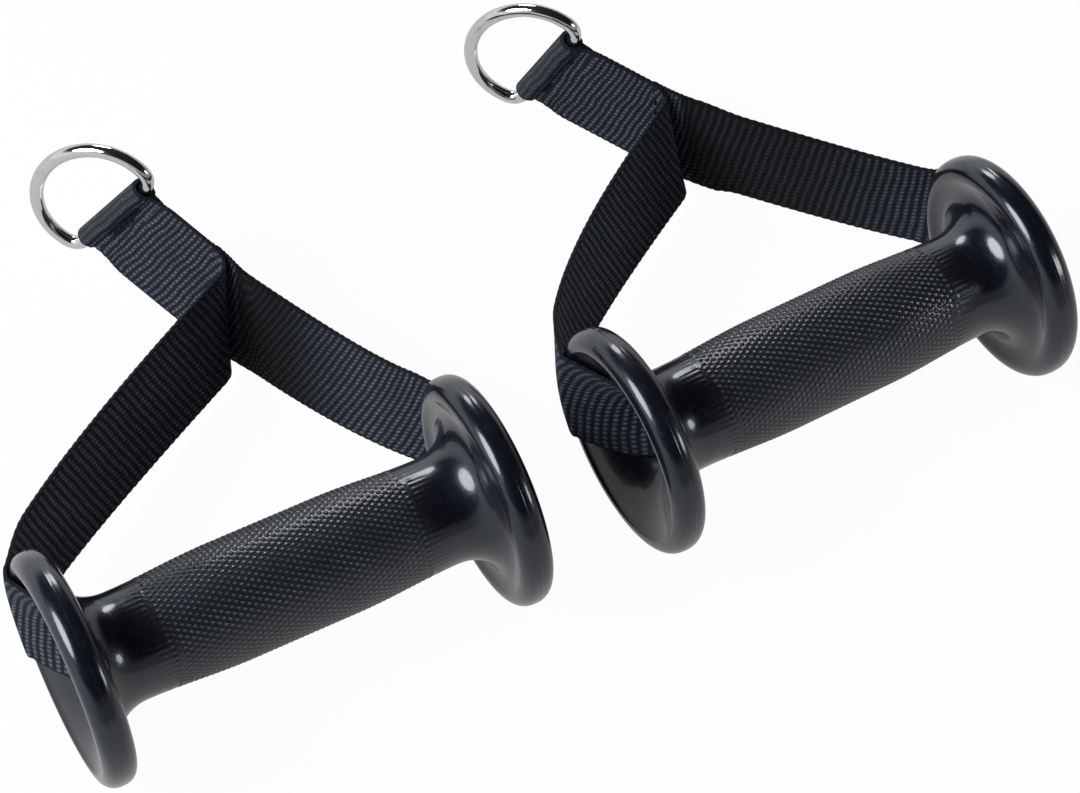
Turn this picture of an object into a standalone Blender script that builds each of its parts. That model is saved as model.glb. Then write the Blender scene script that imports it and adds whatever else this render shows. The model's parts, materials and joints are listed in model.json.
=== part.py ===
# Pair of single-grip cable handles for a pulley machine.
# Each handle is a hard rubber grip with trumpet flanges on a core tube, one loop of webbing
# threaded through the bore and sewn to a stem, and a welded D-ring in the stem's fold.
# Metres, +Z up. Both grips lie along X and stand on their flanges; the straps run towards +Y.

import math
from collections import namedtuple

import bmesh
import bpy
from mathutils import Matrix, Vector

# Grip: one turned body about X
GRIP_LENGTH = 0.157
FLANGE_RADIUS = 0.040
PALM_RADIUS = 0.01985
NECK_RADIUS = 0.0183
BEAD_RADIUS = 0.0050
RIM_LAND = 0.0016
PALM_HALF_LENGTH = 0.018
NECK_DISTANCE = 0.055
FLANGE_FILLET = 0.0112
FACE_CREASE = 0.0014
CREST_EDGE = 0.0007
BELL_DEPTH = 0.0215
BORE_LIP = 0.0026

# Core tube inside the rubber
CORE_BORE_RADIUS = 0.0113
CORE_WALL = 0.0015
FIT_GAP = 0.0003

# Webbing
WEB_WIDTH = 0.038
WEB_THICKNESS = 0.0017
LAYER_GAP = 0.0003
RUN_CLEARANCE = 0.0005
STEM_LENGTH = 0.0545
JUNCTION_FILLET = 0.0092
STEM_SQUARE_RUN = 0.025
TAIL_BEFORE_JUNCTION = 0.012
INNER_TAIL_BACK = 0.003
TAIL_BEFORE_BAR = 0.0095

# D-ring
RING_WIRE_RADIUS = 0.0024
RING_SIDE_CLEARANCE = 0.0011
RING_BAR_DROP = 0.0076
RING_CORNER_RADIUS = 0.0028
RING_LOOP_CLEARANCE = 0.0005

# How the pair stands
PAIR_SPACING = 0.197
PAIR_TURN = math.radians(2.2)
PAIR_STEP = 0.0018
STRAP_DROP = math.radians(9.4)

# Facets
GRIP_SEGMENTS = 36
CORE_SEGMENTS = 32
WEB_COLUMNS = 7
RING_SIDES = 8
BOW_STEPS = 20
SMOOTH_LIMIT = math.radians(35.0)

# Lay of one strap, in its own tilted frame: where and how steeply the legs meet, how the
# stem goes on from there, how the ring stands, how the legs spring, how far round the
# grip's axis each leg crosses the rim and how much the right leg's run hangs upright
Lay = namedtuple("Lay", "shift reach lean sway turn rise roll skew ring_lift "
                        "left_bow right_bow left_rim right_rim right_plumb")
LAYS = {
    "a": Lay(shift=0.0360, reach=0.1181, lean=math.radians(13.4), sway=math.radians(7.4),
             turn=math.radians(29.6), rise=math.radians(27.7), roll=math.radians(14.2),
             skew=math.radians(13.5), ring_lift=math.radians(15.6),
             left_bow=math.radians(14.0), right_bow=math.radians(-14.0),
             left_rim=math.radians(-1.5), right_rim=math.radians(-10.5), right_plumb=0.0),
    "b": Lay(shift=0.0172, reach=0.1168, lean=math.radians(12.5), sway=math.radians(-4.0),
             turn=math.radians(42.3), rise=math.radians(26.4), roll=math.radians(-3.0),
             skew=math.radians(8.1), ring_lift=math.radians(5.1),
             left_bow=math.radians(28.0), right_bow=math.radians(5.0),
             left_rim=math.radians(-1.5), right_rim=math.radians(-10.5), right_plumb=0.9),
}

LAYER_PITCH = WEB_THICKNESS + LAYER_GAP
RING_INNER_WIDTH = WEB_WIDTH + 2 * RING_SIDE_CLEARANCE
BELL_MOUTH_X = GRIP_LENGTH / 2 - BELL_DEPTH
BEAD_X = GRIP_LENGTH / 2 - BEAD_RADIUS - RIM_LAND / 2
BEAD_R = FLANGE_RADIUS - BEAD_RADIUS
CREST_ANGLE = math.radians(-10.0)
FACE_ANGLE = math.radians(208.0)
AXIS_HEIGHT = FLANGE_RADIUS * math.cos(math.pi / GRIP_SEGMENTS)
WEB_BORE_RADIUS = CORE_BORE_RADIUS - RUN_CLEARANCE - WEB_THICKNESS / 2


def clear_scene():
    """Remove every object, so the model starts from nothing."""
    for old in list(bpy.data.objects):
        bpy.data.objects.remove(old, do_unlink=True)


def principled(name, colour, roughness, metallic):
    """One Principled material for one sub-part."""
    material = bpy.data.materials.new(name)
    material.use_nodes = True
    shader = material.node_tree.nodes["Principled BSDF"]
    shader.inputs["Base Color"].default_value = (*colour, 1.0)
    shader.inputs["Roughness"].default_value = roughness
    shader.inputs["Metallic"].default_value = metallic
    return material


def new_object(name, mesh, material, parent=None, matrix=None):
    """Link a mesh to the scene as a named sub-part."""
    thing = bpy.data.objects.new(name, mesh)
    bpy.context.scene.collection.objects.link(thing)
    mesh.materials.append(material)
    if parent is not None:
        thing.parent = parent
    if matrix is not None:
        thing.matrix_local = matrix
    return thing


def new_empty(name, parent=None, matrix=None):
    """Link a plain empty that carries the pieces of one handle."""
    empty = bpy.data.objects.new(name, None)
    bpy.context.scene.collection.objects.link(empty)
    if parent is not None:
        empty.parent = parent
    if matrix is not None:
        empty.matrix_local = matrix
    return empty


def arc(centre_x, centre_r, radius, start, end, steps):
    """Points on an arc of a turned outline, each (x, radius from the axis)."""
    points = []
    for step in range(steps + 1):
        angle = start + (end - start) * step / steps
        points.append((centre_x + radius * math.cos(angle), centre_r + radius * math.sin(angle)))
    return points


def palm_outline():
    """The hand's part of the grip: full in the palm, drawn in to the neck."""
    points = [(0.0, PALM_RADIUS), (PALM_HALF_LENGTH, PALM_RADIUS)]
    steps = 4
    for step in range(1, steps + 1):
        share = step / steps
        x = PALM_HALF_LENGTH + (NECK_DISTANCE - PALM_HALF_LENGTH) * share
        swell = (1 + math.cos(math.pi * share)) / 2
        points.append((x, NECK_RADIUS + (PALM_RADIUS - NECK_RADIUS) * swell))
    return points


def flange_outline():
    """The inner face of a flange, its rolled rim and the crest of the bead."""
    face_x = BEAD_X - RIM_LAND / 2 - BEAD_RADIUS + FACE_CREASE
    fillet_x = face_x - NECK_DISTANCE
    points = []
    steps = 5
    for step in range(1, steps + 1):
        angle = math.pi / 2 * step / steps
        points.append((NECK_DISTANCE + fillet_x * math.sin(angle),
                       NECK_RADIUS + FLANGE_FILLET * (1 - math.cos(angle))))
    points += arc(BEAD_X - RIM_LAND / 2, BEAD_R, BEAD_RADIUS, FACE_ANGLE, math.pi / 2, 4)
    points += arc(BEAD_X + RIM_LAND / 2, BEAD_R, BEAD_RADIUS, math.pi / 2, CREST_ANGLE, 4)
    return points


def bell_point(share):
    """A point of the bell mouth: 0 at the crest of the bead, 1 where the bore begins."""
    crest_x, crest_r = arc(BEAD_X + RIM_LAND / 2, BEAD_R, BEAD_RADIUS,
                           CREST_ANGLE, CREST_ANGLE, 1)[0]
    start = Vector((crest_x - CREST_EDGE, crest_r - CREST_EDGE))
    end = Vector((BELL_MOUTH_X, CORE_BORE_RADIUS))
    near_rim_shares = (0.19, 0.42)
    near_bore_shares = (0.46, 0.02)
    depth = start.x - end.x
    spread = start.y - end.y
    first = start - Vector((near_rim_shares[0] * depth, near_rim_shares[1] * spread))
    second = end + Vector((near_bore_shares[0] * depth, near_bore_shares[1] * spread))
    rest = 1 - share
    return (start * rest ** 3 + first * 3 * rest ** 2 * share
            + second * 3 * rest * share ** 2 + end * share ** 3)


def bore_outline():
    """The bell mouth, the lip that holds the core tube and the tube's pocket."""
    steps = 6
    points = [tuple(bell_point(step / steps)) for step in range(steps + 1)]
    lip_x = BELL_MOUTH_X - BORE_LIP
    pocket = CORE_BORE_RADIUS + CORE_WALL + FIT_GAP
    points += [(lip_x, CORE_BORE_RADIUS), (lip_x, pocket), (0.0, pocket)]
    return points


def turned_mesh(name, outline, segments):
    """Turn a closed outline of (x, radius) points once about X."""
    shape = bmesh.new()
    ring = [shape.verts.new((x, 0.0, -radius)) for x, radius in outline]
    edges = [shape.edges.new((ring[i], ring[(i + 1) % len(ring)])) for i in range(len(ring))]
    half = Matrix.Rotation(math.pi / segments, 3, "X")
    bmesh.ops.rotate(shape, verts=ring, cent=(0, 0, 0), matrix=half)
    bmesh.ops.spin(shape, geom=ring + edges, cent=(0, 0, 0), axis=(1, 0, 0), dvec=(0, 0, 0),
                   angle=math.tau, steps=segments, use_merge=True, use_duplicate=False)
    bmesh.ops.recalc_face_normals(shape, faces=shape.faces)
    mesh = bpy.data.meshes.new(name)
    shape.to_mesh(mesh)
    shape.free()
    mesh.shade_smooth()
    mesh.set_sharp_from_angle(angle=SMOOTH_LIMIT)
    return mesh


def make_grip(key, parent):
    """The moulded grip: one outline from neck to bell mouth, mirrored and turned."""
    half = palm_outline() + flange_outline() + bore_outline()
    other = [(-x, radius) for x, radius in reversed(half) if x > 0]
    mesh = turned_mesh("grip_" + key, half + other, GRIP_SEGMENTS)
    rubber = principled("rubber_" + key, (0.012, 0.013, 0.016), 0.25, 0.0)
    return new_object("grip_" + key, mesh, rubber, parent)


def make_core(key, parent):
    """The stiff tube that the rubber is moulded round, held between the bore's lips."""
    half_length = BELL_MOUTH_X - BORE_LIP - FIT_GAP
    outer = CORE_BORE_RADIUS + CORE_WALL
    outline = [(-half_length, outer), (half_length, outer),
               (half_length, CORE_BORE_RADIUS), (-half_length, CORE_BORE_RADIUS)]
    mesh = turned_mesh("core_tube_" + key, outline, CORE_SEGMENTS)
    plastic = principled("core_plastic_" + key, (0.03, 0.03, 0.032), 0.5, 0.0)
    return new_object("core_tube_" + key, mesh, plastic, parent)


# A station of the webbing: its centre, the line across it, how long that line is, and how
# far it curls round the grip's axis, from 0 (flat) to 1 (lying on a circle about the axis)
Station = namedtuple("Station", "centre across width curl")


def smooth(share):
    """Ease from 0 to 1 with level ends."""
    share = min(max(share, 0.0), 1.0)
    return share * share * (3 - 2 * share)


def stem_frame(lay):
    """The stem's direction, width direction and front side, in the strap's frame."""
    flat = Vector((-math.sin(lay.turn), math.cos(lay.turn), 0.0))
    along = flat * math.cos(lay.rise) + Vector((0, 0, 1)) * math.sin(lay.rise)
    upright = (Vector((0, 0, 1)) - along * along.z).normalized()
    across = Matrix.Rotation(lay.roll, 3, along) @ upright
    front = along.cross(across).normalized()
    if front.y > 0:
        front = -front
    return along, across, front


def fold_frame(lay):
    """Width direction of the webbing at the fold and the direction straight out from it."""
    along, across, front = stem_frame(lay)
    fold_across = across * math.cos(lay.skew) - along * math.sin(lay.skew)
    outward = along * math.cos(lay.skew) + across * math.sin(lay.skew)
    return fold_across, outward


def meet_line(lay):
    """Direction of the line where the two legs meet, from its lower to its upper end."""
    return Vector((math.sin(lay.sway), math.sin(lay.lean), math.cos(lay.lean))).normalized()


def line_width(line, run):
    """Length of a slanting line across the webbing, whose width stays square to its run."""
    return WEB_WIDTH / line.cross(run.normalized()).length


def wrap_radius():
    """Radius of the webbing's middle where it goes over the rim's bead."""
    return BEAD_RADIUS + RUN_CLEARANCE + WEB_THICKNESS / 2


def curled_station(side, x, radius, rim):
    """A station lying on a circle about the grip's axis, turned by an angle round it."""
    centre = Vector((side * x, radius * math.cos(rim), radius * math.sin(rim)))
    return Station(centre, Vector((0, -math.sin(rim), math.cos(rim))), WEB_WIDTH, 1.0)


def bore_stations(side, rim):
    """From the middle of the bore out through the bell to the bead, on one side."""
    straight_shares = (0.0, 0.4, 0.8)
    stations = [curled_station(side, BELL_MOUTH_X * share, WEB_BORE_RADIUS, rim * share)
                for share in straight_shares]
    steps = 6
    offset = RUN_CLEARANCE + WEB_THICKNESS / 2
    nudge = 0.01
    for step in range(steps, 0, -1):
        share = step / steps
        here = bell_point(share)
        ahead = bell_point(max(share - nudge, 0.0)) - bell_point(min(share + nudge, 1.0))
        normal = Vector((ahead.y, -ahead.x)).normalized()
        if normal.y > 0:
            normal = -normal
        spot = here + normal * offset
        stations.append(curled_station(side, spot.x, spot.y, rim))
    return stations


def leave_angle(side, meet, bow):
    """Angle on the wrap circle at which the webbing leaves for the point where the legs meet."""
    centre = Vector((side * (BEAD_X + RIM_LAND / 2), BEAD_R))
    gap = Vector((meet.x, meet.y)) - centre
    lean = math.acos(wrap_radius() / gap.length)
    toward = math.atan2(gap.y, side * gap.x)
    return toward - lean - bow


def wrap_stations(side, rim, meet, bow):
    """Round the bead of the rim, from its crest to where the leg leaves it."""
    stations = []
    end = leave_angle(side, meet, bow)
    steps = 4
    for step in range(steps + 1):
        angle = CREST_ANGLE + (end - CREST_ANGLE) * step / steps
        x = BEAD_X + RIM_LAND / 2 + wrap_radius() * math.cos(angle)
        stations.append(curled_station(side, x, BEAD_R + wrap_radius() * math.sin(angle), rim))
    return stations


def leg_stations(side, rim, meet, bow, plumb_share, end_across, steps):
    """From the rim to the point where the legs meet, springing out or hanging in on the way."""
    last = wrap_stations(side, rim, meet, bow)[-1]
    first = last.centre
    angle = leave_angle(side, meet, bow)
    away = Vector((-side * math.sin(angle), math.cos(angle) * math.cos(rim),
                   math.cos(angle) * math.sin(rim)))
    stations = []
    plumb = Vector((0, -math.sin(STRAP_DROP), math.cos(STRAP_DROP)))
    flat_share = 0.22
    twist_share = 0.15
    spring_share = 0.25
    spring = first + away * (meet - first).length * spring_share
    run = meet - spring
    for step in range(1, steps):
        share = step / steps
        rest = 1 - share
        centre = first * rest ** 2 + spring * 2 * rest * share + meet * share ** 2
        free = smooth(share / twist_share) * smooth(rest / twist_share)
        across = last.across.lerp(end_across, smooth(share))
        across = across.lerp(plumb, plumb_share * free).normalized()
        width = WEB_WIDTH + (line_width(end_across, run) - WEB_WIDTH) * smooth(share)
        stations.append(Station(centre, across, width, 1 - smooth(share / flat_share)))
    return stations


def bend_points(start, corner, end, radius, steps):
    """A rounded corner between two straight runs, as points of a quadratic curve."""
    before = corner + (start - corner).normalized() * radius
    after = corner + (end - corner).normalized() * radius
    points = []
    for step in range(steps + 1):
        share = step / steps
        points.append(before * (1 - share) ** 2 + corner * 2 * share * (1 - share)
                      + after * share ** 2)
    return points


def loop_stations(bar, lay):
    """The fold round the D-ring's bar, from the front layer to the rear layer."""
    along, across, front = stem_frame(lay)
    fold_across, outward = fold_frame(lay)
    radius = RING_WIRE_RADIUS + RING_LOOP_CLEARANCE + WEB_THICKNESS / 2
    slanted = along / along.dot(outward)
    stations = []
    open_angle = math.acos(LAYER_PITCH / radius)
    steps = 8
    for step in range(steps + 1):
        turn = -open_angle + (math.pi + 2 * open_angle) * step / steps
        reach = outward if math.sin(turn) > 0 else slanted
        centre = bar + (front * math.cos(turn) + reach * math.sin(turn)) * radius
        stations.append(Station(centre, fold_across, line_width(fold_across, along), 0.0))
    return stations


def stem_station(lay, distance, layer):
    """A station of a flat stem layer, so far from the line where the legs meet."""
    along, across, front = stem_frame(lay)
    fold_across = fold_frame(lay)[0]
    slant = meet_line(lay)
    slant = (slant - front * slant.dot(front)).normalized()
    line = slant.lerp(across, smooth(distance / STEM_SQUARE_RUN))
    far = STEM_LENGTH - STEM_SQUARE_RUN
    line = line.lerp(fold_across, smooth((distance - STEM_SQUARE_RUN) / far)).normalized()
    centre = Vector((lay.shift, lay.reach, 0.0)) + along * distance + front * LAYER_PITCH * layer
    return Station(centre, line, line_width(line, along), 0.0)


def junction_stations(stem_end, leg_end, corner, steps):
    """Round the corner from the stem into a leg."""
    stations = []
    points = bend_points(stem_end.centre, corner, leg_end.centre, JUNCTION_FILLET, steps)
    for step, point in enumerate(points):
        share = smooth(step / steps)
        across = stem_end.across.lerp(leg_end.across, share).normalized()
        width = stem_end.width + (leg_end.width - stem_end.width) * share
        stations.append(Station(point, across, width, 0.0))
    return stations


def strap_stations(lay):
    """The whole webbing, from its tail behind the stem to its tail inside the stem."""
    slant = meet_line(lay)
    bar = stem_station(lay, STEM_LENGTH, 0).centre
    front_meet = stem_station(lay, 0.0, 1).centre
    inner_meet = stem_station(lay, 0.0, 0).centre
    near_bar = STEM_LENGTH - TAIL_BEFORE_BAR
    steps = 4
    stations = []
    # rear layer, cut end first, then round the ring and down the front layer
    tail = stem_station(lay, TAIL_BEFORE_JUNCTION, -1).centre
    stations.append(Station(tail, stem_frame(lay)[1], WEB_WIDTH, 0.0))
    for step in range(1, steps + 1):
        distance = TAIL_BEFORE_JUNCTION + (near_bar - TAIL_BEFORE_JUNCTION) * step / steps
        stations.append(stem_station(lay, distance, -1))
    stations += reversed(loop_stations(bar, lay))
    for step in range(steps + 1):
        distance = near_bar + (JUNCTION_FILLET - near_bar) * step / steps
        stations.append(stem_station(lay, distance, 1))
    # left leg, from the stem's front layer down to the rim and into the bore
    left = -1
    left_leg = leg_stations(left, lay.left_rim, front_meet, lay.left_bow, 0.0, slant, 9)
    stations += junction_stations(stations.pop(), left_leg[-1], front_meet, 5)
    stations += reversed(left_leg)
    stations += reversed(wrap_stations(left, lay.left_rim, front_meet, lay.left_bow))
    stations += reversed(bore_stations(left, lay.left_rim))
    # right leg, back up to its end between the two stem layers
    right = 1
    stations += bore_stations(right, lay.right_rim)[1:]
    stations += wrap_stations(right, lay.right_rim, inner_meet, lay.right_bow)
    right_leg = leg_stations(right, lay.right_rim, inner_meet, lay.right_bow,
                             lay.right_plumb, slant, 9)
    stations += right_leg
    first_inner = stem_station(lay, JUNCTION_FILLET, 0)
    stations += reversed(junction_stations(first_inner, right_leg[-1], inner_meet, 4))
    inner_end = near_bar - INNER_TAIL_BACK
    for step in range(1, steps + 1):
        distance = JUNCTION_FILLET + (inner_end - JUNCTION_FILLET) * step / steps
        stations.append(stem_station(lay, distance, 0))
    return stations


def station_points(station):
    """The webbing's middle surface across one station, from its lower to its upper edge."""
    points = []
    for column in range(WEB_COLUMNS + 1):
        reach = station.width * (column / WEB_COLUMNS - 0.5)
        flat = station.centre + station.across * reach
        if station.curl > 0:
            radius = math.hypot(station.centre.y, station.centre.z)
            angle = math.atan2(station.centre.z, station.centre.y) + reach / radius
            curled = Vector((station.centre.x, radius * math.cos(angle),
                             radius * math.sin(angle)))
            flat = flat.lerp(curled, station.curl)
        points.append(flat)
    return points


def make_strap(key, lay, parent):
    """One length of webbing: stem, ring fold, both legs and the run through the bore."""
    stations = strap_stations(lay)
    shape = bmesh.new()
    rows = [[shape.verts.new(point) for point in station_points(station)] for station in stations]
    for row in range(len(rows) - 1):
        for column in range(WEB_COLUMNS):
            shape.faces.new((rows[row][column], rows[row][column + 1],
                             rows[row + 1][column + 1], rows[row + 1][column]))
    mesh = bpy.data.meshes.new("strap_" + key)
    shape.to_mesh(mesh)
    shape.free()
    mesh.shade_smooth()
    webbing = principled("webbing_" + key, (0.02, 0.022, 0.03), 0.8, 0.0)
    tilt = Matrix.Rotation(-STRAP_DROP, 4, "X")
    strap = new_object("strap_" + key, mesh, webbing, parent, tilt)
    wall = strap.modifiers.new("wall", "SOLIDIFY")
    wall.thickness = WEB_THICKNESS
    wall.offset = 0.0
    wall.use_even_offset = True
    return strap


def ring_path():
    """Middle line of the D-ring in its own plane: bar along X, bow towards +Y."""
    half = RING_INNER_WIDTH / 2 + RING_WIRE_RADIUS
    bow = arc(0.0, RING_BAR_DROP, half, 0.0, math.pi, BOW_STEPS)
    points = [Vector((x, y, 0.0)) for x, y in bow]
    left = Vector((-half, 0.0, 0.0))
    right = Vector((half, 0.0, 0.0))
    points += bend_points(points[-1], left, right, RING_CORNER_RADIUS, 4)
    points += bend_points(left, right, points[0], RING_CORNER_RADIUS, 4)
    return points


def make_ring(key, lay, parent):
    """The welded D-ring: round wire swept along a closed path."""
    along, across, front = stem_frame(lay)
    fold_across, outward = fold_frame(lay)
    bar = Vector((lay.shift, lay.reach, 0.0)) + along * STEM_LENGTH
    lifted = outward * math.cos(lay.ring_lift) + front * math.sin(lay.ring_lift)
    normal = fold_across.cross(lifted)
    matrix = Matrix((fold_across, lifted, normal)).transposed().to_4x4()
    matrix.translation = bar
    path = ring_path()
    shape = bmesh.new()
    loops = []
    for index, point in enumerate(path):
        ahead = path[(index + 1) % len(path)]
        behind = path[index - 1]
        run = (ahead - behind).normalized()
        out = Vector((run.y, -run.x, 0.0))
        loop = []
        for side in range(RING_SIDES):
            angle = math.tau * side / RING_SIDES
            offset = out * math.cos(angle) + Vector((0, 0, 1)) * math.sin(angle)
            loop.append(shape.verts.new(point + offset * RING_WIRE_RADIUS))
        loops.append(loop)
    for index in range(len(loops)):
        here = loops[index]
        there = loops[(index + 1) % len(loops)]
        for side in range(RING_SIDES):
            after = (side + 1) % RING_SIDES
            shape.faces.new((here[side], here[after], there[after], there[side]))
    bmesh.ops.recalc_face_normals(shape, faces=shape.faces)
    mesh = bpy.data.meshes.new("d_ring_" + key)
    shape.to_mesh(mesh)
    shape.free()
    mesh.shade_smooth()
    steel = principled("steel_" + key, (0.6, 0.6, 0.6), 0.15, 1.0)
    return new_object("d_ring_" + key, mesh, steel, parent, matrix)


def make_handle(key, lay, place):
    """One handle on its own empty, whose origin is the middle of the grip's axis."""
    base = new_empty("handle_" + key, None, place)
    make_grip(key, base)
    make_core(key, base)
    strap = make_strap(key, lay, base)
    make_ring(key, lay, strap)
    return base


def world_box():
    """Lowest and highest corners of every evaluated mesh."""
    bpy.context.view_layer.update()
    graph = bpy.context.evaluated_depsgraph_get()
    low = Vector((math.inf, math.inf, math.inf))
    high = -low
    for thing in bpy.context.scene.objects:
        if thing.type != "MESH":
            continue
        shown = thing.evaluated_get(graph)
        mesh = shown.to_mesh()
        for vertex in mesh.vertices:
            spot = thing.matrix_world @ vertex.co
            low = Vector(map(min, low, spot))
            high = Vector(map(max, high, spot))
        shown.to_mesh_clear()
    return low, high


def main():
    """Build both handles, then centre the pair over the origin."""
    clear_scene()
    handles = []
    for side, key in ((-1, "a"), (1, "b")):
        turn = PAIR_TURN if key == "b" else 0.0
        place = Matrix.Translation((side * PAIR_SPACING / 2, -side * PAIR_STEP / 2, AXIS_HEIGHT))
        handles.append(make_handle(key, LAYS[key], place @ Matrix.Rotation(turn, 4, "Z")))
    low, high = world_box()
    for handle in handles:
        handle.location.x -= (low.x + high.x) / 2
        handle.location.y -= (low.y + high.y) / 2
    bpy.context.view_layer.update()


main()
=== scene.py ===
# Looks for a pair of single-grip cable handles.
# Knurled rubber grips with trumpet flanges, sewn webbing straps and chrome D-rings, dressed over
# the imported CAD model. Everything is in metres in the frame's own coordinates: +X runs along the
# grip of handle a, +Y from the hand to the rings, +Z up, and the flanges stand on z = 0.

import bisect
import json
import math
from collections import namedtuple

import bmesh
import bpy
from bpy.props import FloatProperty, FloatVectorProperty, IntProperty, PointerProperty
from mathutils import Matrix, Vector


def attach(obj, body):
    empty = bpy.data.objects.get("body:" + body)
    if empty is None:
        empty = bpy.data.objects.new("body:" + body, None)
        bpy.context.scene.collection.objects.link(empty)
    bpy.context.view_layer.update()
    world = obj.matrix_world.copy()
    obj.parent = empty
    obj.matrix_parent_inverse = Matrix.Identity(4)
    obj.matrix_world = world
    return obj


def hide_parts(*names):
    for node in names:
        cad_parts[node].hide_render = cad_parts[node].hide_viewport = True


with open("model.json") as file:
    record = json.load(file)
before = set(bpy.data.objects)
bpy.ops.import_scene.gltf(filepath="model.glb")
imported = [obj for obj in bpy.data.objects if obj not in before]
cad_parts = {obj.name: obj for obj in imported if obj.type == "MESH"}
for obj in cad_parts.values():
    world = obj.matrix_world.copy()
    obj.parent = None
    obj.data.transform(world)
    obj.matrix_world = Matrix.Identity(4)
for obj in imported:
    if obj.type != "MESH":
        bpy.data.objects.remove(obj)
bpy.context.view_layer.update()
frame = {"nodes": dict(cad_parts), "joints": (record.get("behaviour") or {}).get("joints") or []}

bl_info = {
    "name": "Cable handle pair",
    "version": (1, 0, 0),
    "blender": (4, 5, 0),
    "location": "3D View > Sidebar > Cable handles",
    "description": "Dresses the CAD frame of two stirrup handles for a cable machine",
    "category": "Object",
}

# Grip, as in the part's source
GRIP_LENGTH = 0.157
FLANGE_RADIUS = 0.040
PALM_RADIUS = 0.01985
NECK_RADIUS = 0.0183
BEAD_RADIUS = 0.0050
RIM_LAND = 0.0016
PALM_HALF_LENGTH = 0.018
NECK_DISTANCE = 0.055
FLANGE_FILLET = 0.0112
FACE_CREASE = 0.0014
CREST_EDGE = 0.0007
BELL_DEPTH = 0.0215
BORE_LIP = 0.0026
CORE_BORE_RADIUS = 0.0113
CORE_WALL = 0.0015
FIT_GAP = 0.0003

# Webbing, as in the part's source
WEB_WIDTH = 0.038
WEB_THICKNESS = 0.0017
RUN_CLEARANCE = 0.0005
STEM_LENGTH = 0.0545
JUNCTION_FILLET = 0.0092
STEM_SQUARE_RUN = 0.025
TAIL_BEFORE_JUNCTION = 0.012
INNER_TAIL_BACK = 0.003
TAIL_BEFORE_BAR = 0.0095

# D-ring, as in the part's source
RING_WIRE_RADIUS = 0.0024
RING_SIDE_CLEARANCE = 0.0011
RING_BAR_DROP = 0.0076
RING_LOOP_CLEARANCE = 0.0005

# Worked out from those, also as in the part's source
STRAP_DROP = math.radians(9.4)
RING_INNER_WIDTH = WEB_WIDTH + 2 * RING_SIDE_CLEARANCE
BELL_MOUTH_X = GRIP_LENGTH / 2 - BELL_DEPTH
BEAD_X = GRIP_LENGTH / 2 - BEAD_RADIUS - RIM_LAND / 2
BEAD_R = FLANGE_RADIUS - BEAD_RADIUS
CREST_ANGLE = math.radians(-10.0)
FACE_ANGLE = math.radians(208.0)
WEB_BORE_RADIUS = CORE_BORE_RADIUS - RUN_CLEARANCE - WEB_THICKNESS / 2

# Not as in the part's source: the ring there has a corner radius of 0.0028, no widening and a bow
# that reaches 0.0301, and the webbing there is 0.0017 thick with its layers 0.0020 apart.
# The widening is on each side, bar included, and the height is from the bar's middle to the bow's.
RING_CORNER_RADIUS = 0.0068
RING_WIDENING = 0.0023
RING_HEIGHT = 0.0285
LAYER_PITCH = 0.0013
PRESSED_THICKNESS = 0.0012

# How far each layer of a stem slides across past the others, and over which runs it comes in: from
# the bar, from the line where the legs meet, and for the inner layer from the end of its corner
LAYER_SLIDE = {0: -0.0007, 1: 0.0006, -1: -0.0019}
SLIDE_FROM_BAR = 0.012
SLIDE_FROM_MEET = 0.014

# How each strap lies, as in the part's source, with its angles in degrees
Lay = namedtuple("Lay", "shift reach lean sway turn rise roll skew ring_lift "
                        "left_bow right_bow left_rim right_rim right_plumb")


def lay_of(shift, reach, right_plumb, **degrees):
    """A strap's lay from two distances, a share and the rest as angles in degrees."""
    angles = {name: math.radians(angle) for name, angle in degrees.items()}
    return Lay(shift=shift, reach=reach, right_plumb=right_plumb, **angles)


LAYS = {
    "a": lay_of(0.0360, 0.1181, 0.0, lean=13.4, sway=7.4, turn=29.6, rise=27.7, roll=14.2,
                skew=13.5, ring_lift=15.6, left_bow=14.0, right_bow=-14.0, left_rim=-1.5,
                right_rim=-10.5),
    "b": lay_of(0.0172, 0.1168, 0.9, lean=12.5, sway=-4.0, turn=42.3, rise=26.4, roll=-3.0,
                skew=8.1, ring_lift=5.1, left_bow=28.0, right_bow=5.0, left_rim=-1.5,
                right_rim=-10.5),
}


def length_setting(name, default, description):
    """A small length in metres."""
    return FloatProperty(name=name, default=default, unit="LENGTH", precision=5,
                         description=description)


def colour_setting(name, default, description):
    """A colour without alpha."""
    return FloatVectorProperty(name=name, default=default, subtype="COLOR", min=0.0, max=1.0,
                               description=description)


def power_setting(name, default, description):
    """The power of a lamp, in watts."""
    return FloatProperty(name=name, default=default, unit="POWER", description=description)


class GripLook(bpy.types.PropertyGroup):
    """Sizes and colours of the knurled rubber grips."""

    knurl_around: IntProperty(name="Diamonds around", default=58, min=24, max=90,
                              description="Knurl diamonds round the palm")
    knurl_pitch: length_setting("Diamond length", 0.00365, "Length of one diamond along the grip")
    knurl_depth: length_setting("Knurl depth", 0.00034, "Height from the groove to the point")
    rubber: colour_setting("Rubber", (0.0060, 0.0072, 0.0120), "Colour of the moulded rubber")
    # the knurl's points: partly worn, partly painted highlight for the glints on their facets
    worn_and_highlit_tips: colour_setting("Worn points", (0.230, 0.240, 0.275), "Colour of the rubbed points")
    gloss: FloatProperty(name="Roughness", default=0.25, min=0.05, max=1.0, subtype="FACTOR",
                         description="Roughness of the smooth flanges")


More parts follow.
